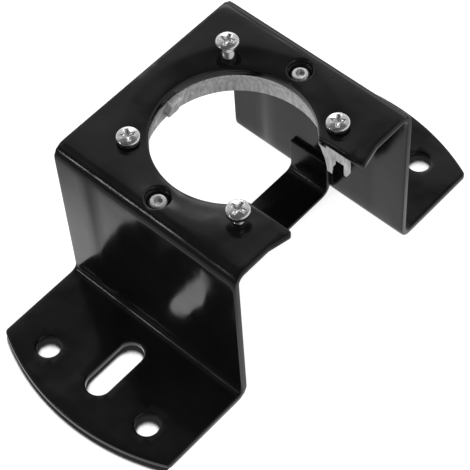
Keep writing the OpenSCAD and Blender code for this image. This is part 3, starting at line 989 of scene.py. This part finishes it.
def softened_seat(material):
    """The seat's own mesh with its doubles merged, its flats joined and its edges slightly rounded."""
    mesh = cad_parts["ball_seat"].data.copy()
    mesh.name = "seat_moulding"
    work = bmesh.new()
    work.from_mesh(mesh)
    bmesh.ops.remove_doubles(work, verts=work.verts, dist=SEAT_DOUBLES)
    bmesh.ops.dissolve_limit(work, angle_limit=SEAT_FLAT, verts=work.verts, edges=work.edges)
    work.to_mesh(mesh)
    work.free()
    mesh.materials.clear()
    mesh.materials.append(material)
    mesh.polygons.foreach_set("use_smooth", np.ones(len(mesh.polygons), bool))
    mesh.set_sharp_from_angle(angle=SEAT_SHARP)
    piece = bpy.data.objects.new("seat_moulding", mesh)
    bpy.context.scene.collection.objects.link(piece)
    bevel = piece.modifiers.new("soft_edges", "BEVEL")
    bevel.width = SEAT_EDGE_W
    bevel.segments = 2
    bevel.limit_method = "ANGLE"
    bevel.angle_limit = SEAT_EDGE_TURN
    bevel.harden_normals = False
    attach(piece, "root")
    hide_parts("ball_seat")
    return piece


# The camera

CAMERA_TURN = math.radians(45.67)
CAMERA_RISE = math.radians(54.80)
CAMERA_ROLL = math.radians(-4.37)
CAMERA_DISTANCE = 653.7
CAMERA_TARGET = Vector((-7.18, 5.44, 0.0))
CAMERA_LENS = 138.0
CAMERA_SENSOR = 36.0
CAMERA_CLIP = (0.01, 20.0)


def make_camera():
    """The camera, by its turn, rise, roll and distance about a point on the floor."""
    back = Vector((
        math.sin(CAMERA_TURN) * math.cos(CAMERA_RISE),
        -math.cos(CAMERA_TURN) * math.cos(CAMERA_RISE),
        math.sin(CAMERA_RISE),
    ))
    level = Vector((math.cos(CAMERA_TURN), math.sin(CAMERA_TURN), 0))
    upright = back.cross(level)
    right = math.cos(CAMERA_ROLL) * level + math.sin(CAMERA_ROLL) * upright
    up = math.cos(CAMERA_ROLL) * upright - math.sin(CAMERA_ROLL) * level
    place = (CAMERA_TARGET + CAMERA_DISTANCE * back) * MM
    data = bpy.data.cameras.new("camera")
    data.lens = CAMERA_LENS
    data.sensor_width = CAMERA_SENSOR
    data.clip_start, data.clip_end = CAMERA_CLIP
    camera = bpy.data.objects.new("camera", data)
    turn = Matrix((right, up, back)).transposed().to_4x4()
    camera.matrix_world = Matrix.Translation(place) @ turn
    bpy.context.scene.collection.objects.link(camera)
    bpy.context.scene.camera = camera


# The table

# What lamps, the camera and gloss see of the table
TABLE_GREY = 0.8
TABLE_ROUGH = 0.9
FLOOR_GLOW = 0.86
FLOOR_SHADOW = 0.42
FLOOR_HALF = 3.0
FLOOR_DROP = 0.0001

# The shade at the feet's edges: how far it looks for them and which way, what it makes of what it
# finds, and where the edges are lit instead
CONTACT_REACH = 0.006
CONTACT_WAY = {"x": -0.58, "y": 0.58, "z": 0.57}
CONTACT_SPAN = (0.58, 0.67)
CONTACT_DARK = 0.02
CONTACT_SAMPLES = 32
LIT_SIDE_X = 0.0398
LIT_MIDDLE_Y = 0.0455

# How bright the table looks in gloss: in two pools, from a bright radius to a dim one, with the share
# left beyond, between the walls, and in the feet's holes
GLOSS_POOLS = ((0.066, 0.115, 0.42), (0.2, 0.5, 0.3))
INSIDE_GLOW = 0.62
INSIDE_SPAN = (0.036, 0.047)
HOLE_GLOW = 0.12
HOLE_SPAN = (0.0045, 0.007)


def mixed(tree, share, first, second):
    """Two shaders mixed by a share. Where the first is None, it is black."""
    mix = node(tree, "ShaderNodeMixShader")
    for place, source in zip(mix.inputs, (share, first, second)):
        if source is not None:
            tree.links.new(source, place)
    return mix.outputs["Shader"]


def mix_by_seen(tree, plain, seen):
    """Shows one shader to the lamps and another to the camera and to glossy and clear surfaces."""
    path = node(tree, "ShaderNodeLightPath")
    share = path.outputs["Is Camera Ray"]
    for label in ("Is Glossy Ray", "Is Transmission Ray"):
        share = maths(tree, "MAXIMUM", share, path.outputs[label])
    return mixed(tree, share, plain, seen)


def x_and_off_y(tree, place):
    """The X of a place, and how far it lies from the middle along Y."""
    parts = node(tree, "ShaderNodeSeparateXYZ")
    tree.links.new(place, parts.inputs[0])
    return parts.outputs["X"], maths(tree, "ABSOLUTE", parts.outputs["Y"])


def contact_shade(tree, place):
    """The dark shade that the feet's edges throw on the table beside them, away from their lit sides."""
    near = node(
        tree, "ShaderNodeAmbientOcclusion", samples=CONTACT_SAMPLES, distance=CONTACT_REACH
    )
    way = node(tree, "ShaderNodeCombineXYZ", **CONTACT_WAY)
    tree.links.new(way.outputs["Vector"], near.inputs["Normal"])
    x, off = x_and_off_y(tree, place)
    shade = remapped(tree, near.outputs["AO"], CONTACT_SPAN, CONTACT_DARK, 1.0)
    shade = maths(tree, "MAXIMUM", shade, maths(tree, "GREATER_THAN", x, LIT_SIDE_X))
    return maths(tree, "MAXIMUM", shade, maths(tree, "LESS_THAN", off, LIT_MIDDLE_Y))


def shade_inside(tree, place):
    """How bright the table looks in gloss: dim between the two walls, and in the feet's round holes."""
    off = x_and_off_y(tree, place)[1]
    between = remapped(tree, off, INSIDE_SPAN, INSIDE_GLOW, 1.0, "SMOOTHSTEP")
    quarter = vector_maths(tree, "ABSOLUTE", place)
    middle = (FOOT_HOLE_X * MM, FOOT_HOLE_Y * MM, 0)
    away = vector_maths(tree, "DISTANCE", quarter, middle, result="Value")
    hole = remapped(tree, away, HOLE_SPAN, HOLE_GLOW, 1.0, "SMOOTHSTEP")
    return maths(tree, "MULTIPLY", between, hole)


def table_in_gloss(tree, place):
    """What gloss shows of the table: pools of light round the object, dimmed inside it."""
    away = vector_maths(tree, "LENGTH", place, result="Value")
    pools = [
        remapped(tree, away, (lit_r, dark_r), 1.0, left, "SMOOTHSTEP")
        for lit_r, dark_r, left in GLOSS_POOLS
    ]
    glow = node(tree, "ShaderNodeEmission")
    tree.links.new(maths(tree, "MULTIPLY", *pools), glow.inputs["Strength"])
    tree.links.new(shade_inside(tree, place), glow.inputs["Color"])
    return glow.outputs[0]


def table_white():
    """The table's material: white to the camera, with the object's faint shadow and a painted contact
    shadow.
    """
    made, tree, shader = material_with("table_white")
    shader.inputs["Base Color"].default_value = (TABLE_GREY, TABLE_GREY, TABLE_GREY, 1)
    shader.inputs["Roughness"].default_value = TABLE_ROUGH
    place = object_place(tree)
    # Painted shadow: the contact shade darkens the table's glow and its diffuse part beside the feet's
    # edges.
    shade = contact_shade(tree, place)
    glow = node(tree, "ShaderNodeEmission", strength=FLOOR_GLOW)
    tree.links.new(shade, glow.inputs["Color"])
    soft = node(tree, "ShaderNodeBsdfDiffuse", color=(FLOOR_SHADOW, FLOOR_SHADOW, FLOOR_SHADOW, 1))
    both = node(tree, "ShaderNodeAddShader")
    tree.links.new(glow.outputs[0], both.inputs[0])
    tree.links.new(mixed(tree, shade, None, soft.outputs[0]), both.inputs[1])
    glossy = node(tree, "ShaderNodeLightPath").outputs["Is Glossy Ray"]
    seen = mixed(tree, glossy, both.outputs[0], table_in_gloss(tree, place))
    shown = mix_by_seen(tree, shader.outputs[0], seen)
    tree.links.new(shown, tree.nodes["Material Output"].inputs["Surface"])
    return made


def make_floor():
    """A wide square table just below the feet."""
    mesh = bpy.data.meshes.new("table")
    corners = [(x * FLOOR_HALF, y * FLOOR_HALF, 0) for x, y in ((-1, -1), (1, -1), (1, 1), (-1, 1))]
    mesh.from_pydata(corners, [], [(0, 1, 2, 3)])
    mesh.materials.append(table_white())
    floor = bpy.data.objects.new("table", mesh)
    floor.location.z = -FLOOR_DROP
    bpy.context.scene.collection.objects.link(floor)


# The room and the lamps

# How bright the room is at each height of a direction, the share of it that the front keeps in gloss,
# and the span of Y over which the front begins
ROOM_TONES = (
    (0.0, 1.0), (0.30, 1.0), (0.50, 0.5), (0.72, 0.56), (0.80, 0.5), (0.85, 0.14), (1.0, 0.08),
)
FRONT_SHARE = 0.12
FRONT_SPAN = (-0.55, -0.12)

# Each lamp's name, place, target, width and height, power, and whether gloss mirrors it
LAMPS = (
    ("key_lamp", (-0.55, -0.75, 1.1), (0, 0, 0.04), (0.5, 0.5), 9, False),
    ("fill_lamp", (0.9, 0.5, 0.9), (0, 0, 0.04), (0.6, 0.6), 5, False),
    ("front_lamp", (-0.64, -1.09, 0.60), (0, 0, 0.07), (0.9, 0.2), 0.3, True),
    ("glint_lamp", (-0.637, -1.06, 0.68), (0, 0, 0.07), (0.06, 0.2), 0.55, True),
    ("rear_lamp", (-0.95, 0.9, 0.95), (0, 0, 0.07), (0.5, 0.4), 1.3, True),
)


def make_room():
    """A studio's light by direction: white at the sides, grey above, dark overhead and in front."""
    world = bpy.data.worlds.new("studio")
    bpy.context.scene.world = world
    world.use_nodes = True
    tree = world.node_tree
    way = node(tree, "ShaderNodeTexCoord").outputs["Generated"]
    parts = node(tree, "ShaderNodeSeparateXYZ")
    tree.links.new(way, parts.inputs[0])
    ramp = node(tree, "ShaderNodeValToRGB")
    while len(ramp.color_ramp.elements) < len(ROOM_TONES):
        ramp.color_ramp.elements.new(0.5)
    for element, (position, grey) in zip(ramp.color_ramp.elements, ROOM_TONES):
        element.position = position
        element.color = (grey, grey, grey, 1)
    tree.links.new(parts.outputs["Z"], ramp.inputs["Fac"])
    front = remapped(tree, parts.outputs["Y"], FRONT_SPAN, FRONT_SHARE, 1.0, "SMOOTHSTEP")
    glossy = node(tree, "ShaderNodeLightPath").outputs["Is Glossy Ray"]
    share = node(tree, "ShaderNodeMix", data_type="FLOAT")
    share.inputs[2].default_value = 1.0
    tree.links.new(glossy, share.inputs[0])
    tree.links.new(front, share.inputs[3])
    back = tree.nodes["Background"]
    tree.links.new(ramp.outputs["Color"], back.inputs["Color"])
    tree.links.new(share.outputs[0], back.inputs["Strength"])


def area_light(name, place, target, size, watts, mirrored):
    """A soft lamp, as wide and tall as its size, that faces a target and that gloss may mirror."""
    data = bpy.data.lights.new(name, "AREA")
    data.shape = "RECTANGLE"
    data.size, data.size_y = size
    data.energy = watts
    back = (Vector(place) - Vector(target)).normalized()
    across = Vector((0, 0, 1)).cross(back).normalized()
    turn = Matrix((across, back.cross(across), back)).transposed().to_4x4()
    lamp = bpy.data.objects.new(name, data)
    lamp.matrix_world = Matrix.Translation(place) @ turn
    lamp.visible_glossy = mirrored
    bpy.context.scene.collection.objects.link(lamp)


make_camera()
make_floor()
make_room()
for lamp_values in LAMPS:
    area_light(*lamp_values)
bpy.context.scene.view_settings.view_transform = "Standard"

sheet_paint = black_paint("sheet_paint", grey=0.0035, rough=(0.12, 0.19), wave=0.0013)
bar_paint = black_paint("bar_paint", grey=0.003, rough=(0.2, 0.3), wave=0.0003)
zinc = plated_metal("zinc_plate", grey=0.94, rough=(0.14, 0.3), grain=0.3)
rivet_metal = plated_metal("rivet_metal", grey=0.92, rough=(0.2, 0.36), grain=0.3)

folded_sheet(sheet_paint)
drawn_rim(sheet_paint)
strap(bar_paint)
softened_seat(grey_moulding())
for screw_number, screw_turn in enumerate((20, 55, 8, 35), start=1):
    pan_screw(screw_number, math.radians(screw_turn), zinc)
hollow_rivet("hollow_rivet_near", "rivet_near", rivet_metal)
hollow_rivet("hollow_rivet_far", "rivet_far", rivet_metal)
